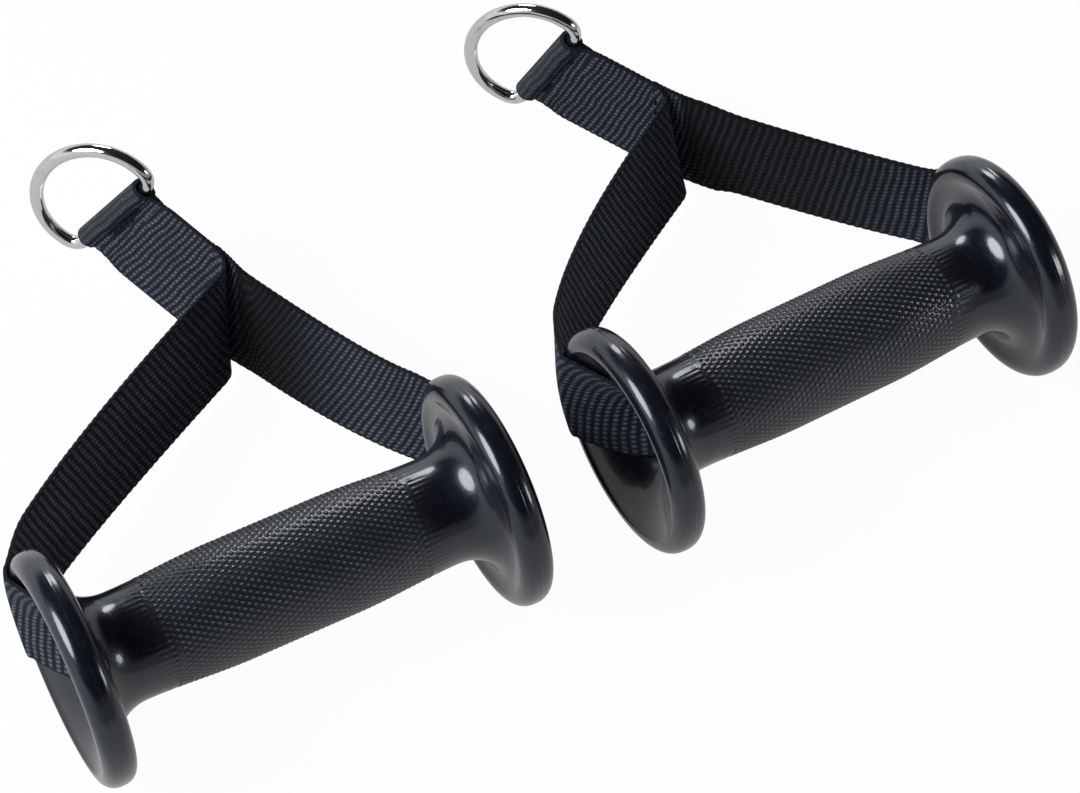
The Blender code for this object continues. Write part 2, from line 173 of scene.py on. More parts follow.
class WebbingLook(bpy.types.PropertyGroup):
    """Sizes and colours of the woven straps and their sewing."""

    pick_pitch: length_setting("Row pitch", 0.0023, "Distance from one woven row to the next")
    yarns: IntProperty(name="Yarns", default=20, min=8, max=40,
                       description="Raised yarns across the band")
    selvedge: length_setting("Selvedge", 0.0008, "Width of the plain edge")
    raised: colour_setting("Raised yarn", (0.165, 0.188, 0.250), "Colour on top of the yarns")
    sunk: colour_setting("Sunk yarn", (0.013, 0.0155, 0.022), "Colour between the yarns")
    fold: colour_setting("Drawn fold", (0.045, 0.058, 0.062), "Colour round the ring's bar")
    stitch_length: length_setting("Stitch", 0.0028, "Length of one stitch on the surface")
    thread: colour_setting("Thread", (0.003, 0.0035, 0.006), "Colour of the sewing thread")


class RingLook(bpy.types.PropertyGroup):
    """Finish of the chromed D-rings."""

    chrome: colour_setting("Chrome", (0.80, 0.80, 0.81), "Colour of the plated wire")
    polish: FloatProperty(name="Roughness", default=0.08, min=0.02, max=0.6, subtype="FACTOR",
                          description="Roughness of the plating")
    wire_steps: IntProperty(name="Facets", default=24, min=8, max=48,
                            description="Facets round the wire")


class StageLook(bpy.types.PropertyGroup):
    """Floor, lamps and camera."""

    floor: colour_setting("Floor", (0.35, 0.36, 0.37), "Colour of the floor's bounced light")
    key_power: power_setting("Key lamp", 30.0, "Power of the large soft lamp at the left")
    back_power: power_setting("Back lamp", 4.0, "Power of the small lamp behind")
    front_power: power_setting("Front lamp", 2.2, "Power of the small low lamp, front right")
    sky: FloatProperty(name="Room light", default=0.09, min=0.0, max=2.0,
                       description="Strength of the light from the room")
    focal_length: FloatProperty(name="Focal length", default=116.67, min=20.0, max=300.0,
                                description="Camera lens on a 36 mm wide sensor, in millimetres")


# Shapes shared with the part's source

def smooth(share):
    """Ease from 0 to 1 with level ends."""
    share = min(max(share, 0.0), 1.0)
    return share * share * (3 - 2 * share)


def arc(centre_x, centre_r, radius, start, end, steps):
    """Points on an arc of a turned outline, each (x, radius from the axis)."""
    points = []
    for step in range(steps + 1):
        angle = start + (end - start) * step / steps
        points.append((centre_x + radius * math.cos(angle), centre_r + radius * math.sin(angle)))
    return points


def palm_radius(x):
    """Radius of the hand's part of the grip, full in the palm and drawn in to the neck."""
    share = (abs(x) - PALM_HALF_LENGTH) / (NECK_DISTANCE - PALM_HALF_LENGTH)
    share = min(max(share, 0.0), 1.0)
    return NECK_RADIUS + (PALM_RADIUS - NECK_RADIUS) * (1 + math.cos(math.pi * share)) / 2


def bell_point(share):
    """A point of the bell mouth: 0 at the crest of the bead, 1 where the bore begins."""
    crest_x, crest_r = arc(BEAD_X + RIM_LAND / 2, BEAD_R, BEAD_RADIUS,
                           CREST_ANGLE, CREST_ANGLE, 1)[0]
    start = Vector((crest_x - CREST_EDGE, crest_r - CREST_EDGE))
    end = Vector((BELL_MOUTH_X, CORE_BORE_RADIUS))
    depth = start.x - end.x
    spread = start.y - end.y
    first = start - Vector((0.19 * depth, 0.42 * spread))
    second = end + Vector((0.46 * depth, 0.02 * spread))
    rest = 1 - share
    return (start * rest ** 3 + first * 3 * rest ** 2 * share
            + second * 3 * rest * share ** 2 + end * share ** 3)


def frame_at(x_axis, y_axis, z_axis, origin):
    """A placement from its three axes and its origin."""
    place = Matrix((x_axis, y_axis, z_axis)).transposed().to_4x4()
    place.translation = origin
    return place


def handle_place(key):
    """Where a handle's grip axis lies: its origin is the middle of the grip."""
    joint = next(j for j in frame["joints"] if j["name"] == "grip_spin_" + key)
    along = Vector(joint["axis"]).normalized()
    up = Vector((0, 0, 1))
    return frame_at(along, up.cross(along), up, Vector(joint["pos_m"]))


def strap_place(key):
    """The tilted frame that a strap's lay is written in."""
    return handle_place(key) @ Matrix.Rotation(-STRAP_DROP, 4, "X")


# Webbing: a station has a centre, a line across, that line's length and a curl round the grip

Station = namedtuple("Station", "centre across width curl")


def stem_frame(lay):
    """The stem's direction, width direction and front side, in the strap's frame."""
    flat = Vector((-math.sin(lay.turn), math.cos(lay.turn), 0.0))
    along = flat * math.cos(lay.rise) + Vector((0, 0, 1)) * math.sin(lay.rise)
    upright = (Vector((0, 0, 1)) - along * along.z).normalized()
    across = Matrix.Rotation(lay.roll, 3, along) @ upright
    front = along.cross(across).normalized()
    if front.y > 0:
        front = -front
    return along, across, front


def fold_frame(lay):
    """Width direction of the webbing at the fold and the direction straight out from it."""
    along, across, _ = stem_frame(lay)
    fold_across = across * math.cos(lay.skew) - along * math.sin(lay.skew)
    outward = along * math.cos(lay.skew) + across * math.sin(lay.skew)
    return fold_across, outward


def meet_line(lay):
    """Direction of the line where the two legs meet, from its lower to its upper end."""
    return Vector((math.sin(lay.sway), math.sin(lay.lean), math.cos(lay.lean))).normalized()


def line_width(line, run):
    """Length of a slanting line across the webbing, whose width stays square to its run."""
    return WEB_WIDTH / line.cross(run.normalized()).length


def wrap_radius():
    """Radius of the webbing's middle where it goes over the rim's bead."""
    return BEAD_RADIUS + RUN_CLEARANCE + WEB_THICKNESS / 2


def curled_station(side, x, radius, rim):
    """A station lying on a circle about the grip's axis, turned by an angle round it."""
    centre = Vector((side * x, radius * math.cos(rim), radius * math.sin(rim)))
    return Station(centre, Vector((0, -math.sin(rim), math.cos(rim))), WEB_WIDTH, 1.0)


def bore_stations(side, rim):
    """From the middle of the bore out through the bell to the bead, on one side."""
    straight = 24
    stations = [curled_station(side, BELL_MOUTH_X * step / straight, WEB_BORE_RADIUS,
                               rim * step / straight) for step in range(straight)]
    steps = 24
    offset = RUN_CLEARANCE + WEB_THICKNESS / 2
    nudge = 0.01
    for step in range(steps, 0, -1):
        share = step / steps
        ahead = bell_point(max(share - nudge, 0.0)) - bell_point(min(share + nudge, 1.0))
        normal = Vector((ahead.y, -ahead.x)).normalized()
        if normal.y > 0:
            normal = -normal
        spot = bell_point(share) + normal * offset
        stations.append(curled_station(side, spot.x, spot.y, rim))
    return stations


def leave_angle(side, meet, bow):
    """Angle on the wrap circle at which the webbing leaves for the point where the legs meet."""
    centre = Vector((side * (BEAD_X + RIM_LAND / 2), BEAD_R))
    gap = Vector((meet.x, meet.y)) - centre
    lean = math.acos(wrap_radius() / gap.length)
    toward = math.atan2(gap.y, side * gap.x)
    return toward - lean - bow


def wrap_stations(side, rim, meet, bow):
    """Round the bead of the rim, from its crest to where the leg leaves it."""
    stations = []
    end = leave_angle(side, meet, bow)
    steps = 14
    for step in range(steps + 1):
        angle = CREST_ANGLE + (end - CREST_ANGLE) * step / steps
        x = BEAD_X + RIM_LAND / 2 + wrap_radius() * math.cos(angle)
        stations.append(curled_station(side, x, BEAD_R + wrap_radius() * math.sin(angle), rim))
    return stations


def leg_stations(side, rim, meet, bow, plumb_share, end_across):
    """From the rim to the point where the legs meet, springing out or hanging in on the way."""
    last = wrap_stations(side, rim, meet, bow)[-1]
    first = last.centre
    angle = leave_angle(side, meet, bow)
    away = Vector((-side * math.sin(angle), math.cos(angle) * math.cos(rim),
                   math.cos(angle) * math.sin(rim)))
    plumb = Vector((0, -math.sin(STRAP_DROP), math.cos(STRAP_DROP)))
    spring = first + away * (meet - first).length * 0.25
    run = meet - spring
    steps = 60
    stations = []
    for step in range(1, steps):
        share = step / steps
        rest = 1 - share
        centre = first * rest ** 2 + spring * 2 * rest * share + meet * share ** 2
        free = smooth(share / 0.15) * smooth(rest / 0.15)
        across = last.across.lerp(end_across, smooth(share))
        across = across.lerp(plumb, plumb_share * free).normalized()
        width = WEB_WIDTH + (line_width(end_across, run) - WEB_WIDTH) * smooth(share)
        stations.append(Station(centre, across, width, 1 - smooth(share / 0.22)))
    return [one for one in stations if (one.centre - meet).length > JUNCTION_FILLET]


def bend_points(start, corner, end, radius, steps):
    """A rounded corner between two straight runs, as points of a quadratic curve."""
    before = corner + (start - corner).normalized() * radius
    after = corner + (end - corner).normalized() * radius
    points = []
    for step in range(steps + 1):
        share = step / steps
        points.append(before * (1 - share) ** 2 + corner * 2 * share * (1 - share)
                      + after * share ** 2)
    return points


def loop_stations(bar, lay):
    """The fold round the D-ring's bar, from the front layer to the rear layer."""
    along, _, front = stem_frame(lay)
    fold_across, outward = fold_frame(lay)
    radius = RING_WIRE_RADIUS + RING_LOOP_CLEARANCE + WEB_THICKNESS / 2
    slanted = along / along.dot(outward)
    open_angle = math.acos(LAYER_PITCH / radius)
    steps = 28
    stations = []
    for step in range(steps + 1):
        turn = -open_angle + (math.pi + 2 * open_angle) * step / steps
        reach = outward if math.sin(turn) > 0 else slanted
        centre = bar + (front * math.cos(turn) + reach * math.sin(turn)) * radius
        stations.append(Station(centre, fold_across, line_width(fold_across, along), 0.0))
    return stations


def stem_station(lay, distance, layer):
    """A station of a flat stem layer, so far from the line where the legs meet."""
    along, across, front = stem_frame(lay)
    fold_across = fold_frame(lay)[0]
    slant = meet_line(lay)
    slant = (slant - front * slant.dot(front)).normalized()
    line = slant.lerp(across, smooth(distance / STEM_SQUARE_RUN))
    far = STEM_LENGTH - STEM_SQUARE_RUN
    line = line.lerp(fold_across, smooth((distance - STEM_SQUARE_RUN) / far)).normalized()
    centre = Vector((lay.shift, lay.reach, 0.0)) + along * distance + front * LAYER_PITCH * layer
    slide = LAYER_SLIDE[layer] * smooth((STEM_LENGTH - distance) / SLIDE_FROM_BAR)
    if layer == 1:
        slide *= smooth(distance / SLIDE_FROM_MEET)
    if layer == 0:
        slide *= smooth((distance - JUNCTION_FILLET) / SLIDE_FROM_MEET)
    return Station(centre + across * slide, line, line_width(line, along), 0.0)


def stem_run(lay, start, end, layer):
    """Stations along one layer of the stem, from one distance to another, without the first."""
    steps = 30
    return [stem_station(lay, start + (end - start) * step / steps, layer)
            for step in range(1, steps + 1)]


def junction_stations(stem_end, leg_end, corner):
    """Round the corner from the stem into a leg."""
    steps = 16
    stations = []
    points = bend_points(stem_end.centre, corner, leg_end.centre, JUNCTION_FILLET, steps)
    for step, point in enumerate(points):
        share = smooth(step / steps)
        across = stem_end.across.lerp(leg_end.across, share).normalized()
        width = stem_end.width + (leg_end.width - stem_end.width) * share
        stations.append(Station(point, across, width, 0.0))
    return stations


def strap_stations(lay):
    """The whole webbing, from its tail behind the stem to its tail inside the stem."""
    slant = meet_line(lay)
    bar = stem_station(lay, STEM_LENGTH, 0).centre
    front_meet = stem_station(lay, 0.0, 1).centre
    inner_meet = stem_station(lay, 0.0, 0).centre
    near_bar = STEM_LENGTH - TAIL_BEFORE_BAR
    tail = stem_station(lay, TAIL_BEFORE_JUNCTION, -1).centre
    stations = [Station(tail, stem_frame(lay)[1], WEB_WIDTH, 0.0)]
    stations += stem_run(lay, TAIL_BEFORE_JUNCTION, near_bar, -1)
    stations += reversed(loop_stations(bar, lay))
    stations.append(stem_station(lay, near_bar, 1))
    stations += stem_run(lay, near_bar, JUNCTION_FILLET, 1)
    left_leg = leg_stations(-1, lay.left_rim, front_meet, lay.left_bow, 0.0, slant)
    stations += junction_stations(stations.pop(), left_leg[-1], front_meet)
    stations += reversed(left_leg)
    stations += reversed(wrap_stations(-1, lay.left_rim, front_meet, lay.left_bow))
    stations += reversed(bore_stations(-1, lay.left_rim))
    stations += bore_stations(1, lay.right_rim)[1:]
    stations += wrap_stations(1, lay.right_rim, inner_meet, lay.right_bow)
    right_leg = leg_stations(1, lay.right_rim, inner_meet, lay.right_bow, lay.right_plumb, slant)
    stations += right_leg
    first_inner = stem_station(lay, JUNCTION_FILLET, 0)
    stations += reversed(junction_stations(first_inner, right_leg[-1], inner_meet))
    stations += stem_run(lay, JUNCTION_FILLET, near_bar - INNER_TAIL_BACK, 0)
    return stations


def station_point(station, share):
    """A point of the webbing's middle surface, from its lower to its upper edge."""
    reach = station.width * (share - 0.5)
    flat = station.centre + station.across * reach
    if station.curl > 0:
        radius = math.hypot(station.centre.y, station.centre.z)
        angle = math.atan2(station.centre.z, station.centre.y) + reach / radius
        curled = Vector((station.centre.x, radius * math.cos(angle), radius * math.sin(angle)))
        flat = flat.lerp(curled, station.curl)
    return flat


# Mesh helpers

def put(name, data):
    """A new object in the scene."""
    thing = bpy.data.objects.new(name, data)
    bpy.context.scene.collection.objects.link(thing)
    return thing


def link_piece(name, shape, body, material):
    """Turn a finished bmesh into a piece that rides on a body of the frame."""
    mesh = bpy.data.meshes.new(name)
    shape.to_mesh(mesh)
    shape.free()
    mesh.materials.append(material)
    mesh.shade_smooth()
    piece = put(name, mesh)
    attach(piece, body)
    return piece


# Material helpers

class Shade:
    """A material's nodes, with short calls for the ones that these finishes use."""

    def __init__(self, name, world=None):
        self.material = world or bpy.data.materials.new(name)
        self.material.use_nodes = True
        self.nodes = self.material.node_tree.nodes
        self.links = self.material.node_tree.links
        self.surface = self.nodes.get("Principled BSDF")

    def feed(self, socket, value):
        """Link an output to a socket, or set a plain value on it."""
        if isinstance(value, bpy.types.NodeSocket):
            self.links.new(value, socket)
        else:
            socket.default_value = value

    def add(self, kind):
        """A new node, by its kind's short name."""
        return self.nodes.new("ShaderNode" + kind)

    def math(self, operation, first, second=0.0, third=0.0):
        """One Math node's result."""
        node = self.add("Math")
        node.operation = operation
        for socket, value in zip(node.inputs, (first, second, third)):
            self.feed(socket, value)
        return node.outputs[0]

    def plus(self, first, second):
        """The sum of two values."""
        return self.math("ADD", first, second)

    def times(self, first, second):
        """The product of two values."""
        return self.math("MULTIPLY", first, second)

    def ripple(self, value, pitch):
        """A sine between -1 and 1 that repeats at a pitch."""
        return self.math("SINE", self.times(value, math.tau / pitch))

    def span(self, value, low, high, to_low=0.0, to_high=1.0):
        """Map a value from one range to another, held at the ends."""
        node = self.add("MapRange")
        for socket, number in zip(node.inputs, (value, low, high, to_low, to_high)):
            self.feed(socket, number)
        return node.outputs[0]

    def blend(self, share, first, second):
        """Mix two colours."""
        node = self.add("Mix")
        node.data_type = "RGBA"
        self.feed(node.inputs[0], share)
        self.feed(node.inputs[6], first)
        self.feed(node.inputs[7], second)
        return node.outputs[2]

    def place(self, stretch=(1.0, 1.0, 1.0)):
        """Object coordinates, stretched."""
        source = self.add("TexCoord")
        mapping = self.add("Mapping")
        mapping.inputs["Scale"].default_value = stretch
        self.links.new(source.outputs["Object"], mapping.inputs["Vector"])
        return mapping.outputs[0]

    def noise(self, vector, scale, detail=2.0, roughness=0.5):
        """Noise between 0 and 1."""
        node = self.add("TexNoise")
        self.links.new(vector, node.inputs["Vector"])
        node.inputs["Scale"].default_value = scale
        node.inputs["Detail"].default_value = detail
        node.inputs["Roughness"].default_value = roughness
        return node.outputs[0]

    def attribute(self, name):
        """A number kept on the mesh."""
        node = self.add("Attribute")
        node.attribute_name = name
        return node.outputs["Fac"]

    def relief(self, height, strength, distance, below=None):
        """A bump from a height, on top of another one where given."""
        node = self.add("Bump")
        node.inputs["Strength"].default_value = strength
        node.inputs["Distance"].default_value = distance
        self.links.new(height, node.inputs["Height"])
        if below is not None:
            self.links.new(below, node.inputs["Normal"])
        return node.outputs[0]

    def finish(self, **sockets):
        """Set or link the surface's sockets, named with underscores for spaces."""
        for name, value in sockets.items():
            self.feed(self.surface.inputs[name.replace("_", " ")], value)
        return self.material


def opaque(colour):
    """A colour with full alpha."""
    return (colour[0], colour[1], colour[2], 1.0)


# Grips

def grip_outline(look):
    """Half of the grip's closed outline, from the middle of the palm round to the pocket."""
    step = look.knurl_pitch / 8
    rows = int(NECK_DISTANCE / step)
    points = [(step * row, palm_radius(step * row)) for row in range(rows + 1)]
    face_x = BEAD_X - RIM_LAND / 2 - BEAD_RADIUS + FACE_CREASE
    fillet_x = face_x - NECK_DISTANCE
    steps = 12
    for count in range(1, steps + 1):
        angle = math.pi / 2 * count / steps
        points.append((NECK_DISTANCE + fillet_x * math.sin(angle),
                       NECK_RADIUS + FLANGE_FILLET * (1 - math.cos(angle))))
    points += arc(BEAD_X - RIM_LAND / 2, BEAD_R, BEAD_RADIUS, FACE_ANGLE, math.pi / 2, 11)
    parting = 0.00006
    points.append((BEAD_X - RIM_LAND / 8, FLANGE_RADIUS))
    points.append((BEAD_X, FLANGE_RADIUS + parting))
    points.append((BEAD_X + RIM_LAND / 8, FLANGE_RADIUS))
    points += arc(BEAD_X + RIM_LAND / 2, BEAD_R, BEAD_RADIUS, math.pi / 2, CREST_ANGLE, 9)
    steps = 14
    points += [tuple(bell_point(count / steps)) for count in range(steps + 1)]
    lip_x = BELL_MOUTH_X - BORE_LIP
    pocket = CORE_BORE_RADIUS + CORE_WALL + FIT_GAP
    points += [(lip_x, CORE_BORE_RADIUS), (lip_x, pocket), (0.0, pocket)]
    return points


def knurl_height(look, x, angle):
    """Height of the knurl, 0 in a groove and 1 on a point, and how much of it shows there."""
    turns = look.knurl_around * angle / math.tau
    steps = x / look.knurl_pitch
    ridges = [1 - abs(2 * ((turns + sign * steps) % 1.0) - 1) for sign in (1, -1)]
    diamond = min(ridges)
    line = 1 - abs(2 * (turns % 1.0) - 1)
    reach = abs(x) + 0.0012 * math.sin(3 * angle) + 0.0006 * math.sin(7 * angle + 1)
    diamonds = 1 - smooth((reach - 0.0400) / 0.0090)
    lines = smooth((reach - 0.0400) / 0.0060) * (1 - smooth((reach - 0.0440) / 0.0100))
    shown = 1 - smooth((reach - 0.0400) / 0.0140)
    return diamond * diamonds + 0.35 * line * lines, shown


def grip_piece(key, look, rubber):
    """Turn the outline about the grip's axis and press the knurl into the palm."""
    half = grip_outline(look)
    outline = half + [(-x, radius) for x, radius in reversed(half) if x > 0]
    segments = 4 * look.knurl_around
    assert segments % 2 == 0, "the knurl needs an even number of facets"
    shape = bmesh.new()
    ring = [shape.verts.new((x, 0.0, -radius)) for x, radius in outline]
    edges = [shape.edges.new((ring[i], ring[(i + 1) % len(ring)])) for i in range(len(ring))]
    bmesh.ops.spin(shape, geom=ring + edges, cent=(0, 0, 0), axis=(1, 0, 0), dvec=(0, 0, 0),
                   angle=math.tau, steps=segments, use_merge=True, use_duplicate=False)
    bmesh.ops.recalc_face_normals(shape, faces=shape.faces)
    peaks = shape.verts.layers.float.new("knurl")
    pressed = shape.verts.layers.float.new("pressed")
    for vertex in shape.verts:
        radius = math.hypot(vertex.co.y, vertex.co.z)
        if abs(vertex.co.x) < NECK_DISTANCE and radius > NECK_RADIUS - 0.001:
            angle = math.atan2(vertex.co.z, vertex.co.y)
            height, amount = knurl_height(look, vertex.co.x, angle)
            lifted = radius + look.knurl_depth * (height - 0.72 * amount)
            vertex.co.y *= lifted / radius
            vertex.co.z *= lifted / radius
            vertex[peaks] = height
            vertex[pressed] = amount
    bmesh.ops.transform(shape, matrix=handle_place(key), verts=shape.verts)
    piece = link_piece("rubber_grip_" + key, shape, "grip_" + key, rubber)
    piece.data.set_sharp_from_angle(angle=math.radians(28.0))
    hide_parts("grip_" + key)
    return piece


def moulded_rubber(look):
    """Glossy black rubber, faintly uneven and scuffed; the knurl's points are paler, partly worn and
    partly painted highlight, and its grooves carry painted shade.
    """
    shade = Shade("moulded rubber")
    spot = shade.place()
    height = shade.attribute("knurl")
    pressed = shade.attribute("pressed")
    broad = shade.noise(spot, 34.0, 3.0)
    scuffs = shade.noise(shade.place((1.0, 0.35, 1.0)), 420.0, 5.0, 0.62)
    peel = shade.noise(spot, 900.0, 2.0)
    patches = shade.noise(spot, 90.0, 3.0)
    worn = shade.span(scuffs, 0.52, 0.74)
    plain = shade.plus(shade.span(broad, 0.3, 0.7, look.gloss - 0.05, look.gloss + 0.06),
                       shade.times(worn, 0.10))
    facets = shade.span(height, 0.3, 1.0, 0.52, 0.24)
    change = shade.times(pressed, shade.math("SUBTRACT", facets, plain))
    rough = shade.plus(plain, change)
    # painted highlight and wear on the knurl's points
    rubbed_and_highlit = shade.times(shade.span(height, 0.58, 0.94),
                        shade.span(patches, 0.3, 0.7, 0.15, 1.0))
    moulded = shade.blend(shade.times(worn, 0.35), opaque(look.rubber),
                          (0.020, 0.022, 0.027, 1.0))
    # painted shade in the knurl's grooves
    groove = shade.times(pressed, shade.span(height, 0.5, 0.0))
    colour = shade.blend(groove, moulded, (0.003, 0.003, 0.004, 1.0))
    colour = shade.blend(rubbed_and_highlit, colour, opaque(look.worn_and_highlit_tips))
    waves = shade.relief(broad, 0.10, 0.004)
    points = shade.relief(height, 0.55, 0.0005, waves)
    normal = shade.relief(peel, 0.05, 0.0006, points)
    return shade.finish(Base_Color=colour, Roughness=rough, Normal=normal, IOR=1.5,
                        Specular_Tint=(0.80, 0.90, 1.0, 1.0), Coat_Weight=0.7,
                        Coat_Roughness=0.09)


# Straps

# Each run of stitches: its distance from the line where the legs meet, from where to where it goes
# across the webbing, counted from the middle towards the upper edge, and its number of stitches
SEAMS = {
    "a": ((0.0517, -0.0060, 0.0120, 6), (0.0507, -0.0090, 0.0105, 6), (0.0497, -0.0060, 0.0120, 6),
          (0.0487, -0.0090, 0.0060, 5)),
    "b": ((0.0509, -0.0130, 0.0150, 6), (0.0497, 0.0080, 0.0110, 1), (0.0499, -0.0110, -0.0060, 2),
          (0.0105, -0.0150, 0.0150, 6), (0.0087, -0.0090, 0.0050, 2)),
}


# How the weave lies on the left leg and on the right leg of each strap: how far its rows slant,
# how close together they are, how much painted shade darkens it at the stem and how far that goes
Drape = namedtuple("Drape", "slant crowding dark reach")
DRAPES = {
    "a": (Drape(-0.34, 0.75, 0.45, 0.055), Drape(0.45, 0.89, 0.96, 0.058)),
    "b": (Drape(-0.36, 0.74, 0.35, 0.040), Drape(0.20, 0.77, 0.92, 0.115)),
}
# How far the rows of each stem still follow the fold's slant where the legs meet
FOLLOWED = {"a": 0.6, "b": 0.1}

# Columns of faces across the webbing, and faces along it for each woven row
WEB_COLUMNS = 24
FACES_PER_ROW = 5

# How far from the stem's middle line the weave still runs as the stem's, how far on it then changes
# to the leg's, and where the rows start to lie closer
STEM_REACH = 0.0045
STEM_FADE = 0.0060
CROWDED_FROM = 0.0065

# Where the rows go over to the stations' own lines, which lie along the fold there, from where the
# legs meet, and over which run
FOLD_FROM = 0.046
FOLD_RUN = 0.006

# How far before the bar the webbing starts to narrow, over which run, and by which share of its
# width at the lower and at the upper edge
PINCH_BEFORE = 0.0150
PINCH_RUN = 0.0110
PINCH = (0.060, 0.030)

# How far before the bar's middle the webbing is drawn smooth, and over which run
TAUT_BEFORE = 0.0014
TAUT_RUN = 0.0010

# How far round a stitch the webbing is drawn in, and darkened as painted shade
STITCH_PULL = 0.0011

# Over which run below the meeting line the painted shade sets in, and how much of its reach is evenly
# shaded
PAINTED_SHADE_RUN = 0.002
EVEN_PAINTED_SHADE = 0.35

# How far the rows stand out at the edges, and the level that they stand out from
EDGE_BUMP = 0.00034
EDGE_LEVEL = 0.64

# How the rows stray from straight: how far, and by which angles for each metre across and along
WAVES = ((0.00018, 310, 95), (0.00012, 640, -210), (0.00008, 1300, 470))
LEG_WAVES = 0.50

Spot = namedtuple("Spot", "centre ahead line reach point out woven")


def stitch_spots(key):
    """Distance and reach across of every stitch of one strap."""
    return [(row, low + (high - low) * (index + 0.5) / count)
            for row, low, high, count in SEAMS[key] for index in range(count)]


class Strap:
    """One strap's stations, their runs along it and in its weave, and the frame of its stem."""

    def __init__(self, key):
        self.lay = LAYS[key]
        self.drapes = DRAPES[key]
        self.followed = FOLLOWED[key]
        self.stitches = stitch_spots(key)
        self.along, self.across, _ = stem_frame(self.lay)
        fold, self.drawn = fold_frame(self.lay)
        self.fold_slant = fold.dot(self.along) / fold.dot(self.across)
        self.meet = stem_station(self.lay, 0.0, 0).centre
        self.bar = stem_station(self.lay, STEM_LENGTH, 0).centre
        self.stations = strap_stations(self.lay)
        self.runs = [0.0]
        self.woven = [0.0]
        for before, after in zip(self.stations, self.stations[1:]):
            step = (after.centre - before.centre).length
            leg = self.beside_stem(before.centre) >= CROWDED_FROM
            crowding = self.drape(before.centre).crowding if leg else 1.0
            self.runs.append(self.runs[-1] + step)
            self.woven.append(self.woven[-1] + step * crowding)

    def drape(self, centre):
        """How the weave lies on the leg at whose side a place is."""
        return self.drapes[centre.x > self.lay.shift]

    def beside_stem(self, centre):
        """How far a place is from the line through the middle of the stem."""
        away = centre - self.meet
        return (away - self.along * max(away.dot(self.along), 0.0)).length

    def up_stem(self, centre):
        """How far along the stem a place is, from the line where the legs meet."""
        return (centre - self.meet).dot(self.along)

    def spot(self, run, share):
        """The spot at a run along the webbing and a share of the way across it."""
        index = min(max(bisect.bisect_right(self.runs, run) - 1, 0), len(self.stations) - 2)
        here, there = self.stations[index:index + 2]
        part = (run - self.runs[index]) / (self.runs[index + 1] - self.runs[index])
        middle = there.centre - here.centre
        centre = here.centre + middle * part
        out = (centre - self.bar).dot(self.drawn)
        pinch = smooth((out + PINCH_BEFORE) / PINCH_RUN)
        snug = share + pinch * (PINCH[0] * (1 - share) - PINCH[1] * share)
        point = station_point(here, snug).lerp(station_point(there, snug), part)
        line = here.across.lerp(there.across, part).normalized()
        reach = (here.width + (there.width - here.width) * part) * (share - 0.5)
        woven = self.woven[index] + (self.woven[index + 1] - self.woven[index]) * part
        return Spot(centre, middle.normalized(), line, reach, point, out, woven)

    def row_shift(self, spot, run, on_stem):
        """How far the slant of the rows, and their waves, shift the weave along the webbing."""
        distance = self.up_stem(spot.centre)
        drape = self.drape(spot.centre)
        square = spot.line.dot(spot.ahead)
        followed = self.followed + (1 - self.followed) * smooth(distance / STEM_LENGTH)
        turned = spot.ahead.dot(self.along) * spot.line.dot(self.across)
        stem_slant = square - self.fold_slant * followed * turned
        stem_slant *= 1 - smooth((distance - FOLD_FROM) / FOLD_RUN)
        slant = square + drape.slant
        slant += (stem_slant - slant) * on_stem
        waves = sum(size * math.sin(spot.reach * across + run * along)
                    for size, across, along in WAVES)
        return (slant * spot.reach * (drape.crowding + (1 - drape.crowding) * on_stem)
                + waves * (LEG_WAVES + (1 - LEG_WAVES) * on_stem))

    def sewn_in(self, spot, length):
        """How much the webbing is drawn in by the stitches at a spot of the stem, and darkened there
        as painted shade.
        """
        most = 0.0
        for row, middle in self.stitches:
            beside = max(abs(spot.reach - middle) - length / 2, 0.0)
            away = math.hypot(self.up_stem(spot.centre) - row, beside)
            most = max(most, 1 - smooth(away / STITCH_PULL))
        return most

    def painted_shade_amount(self, spot, on_stem):
        """How much painted shade darkens a leg where it comes out of the stem, for the shadow there.
        """
        drape = self.drape(spot.centre)
        away = (spot.centre - self.meet).length / drape.reach
        off_stem = max(1 - on_stem, smooth(-self.up_stem(spot.centre) / PAINTED_SHADE_RUN))
        return drape.dark * (1 - smooth((away - EVEN_PAINTED_SHADE) / (1 - EVEN_PAINTED_SHADE))) * off_stem


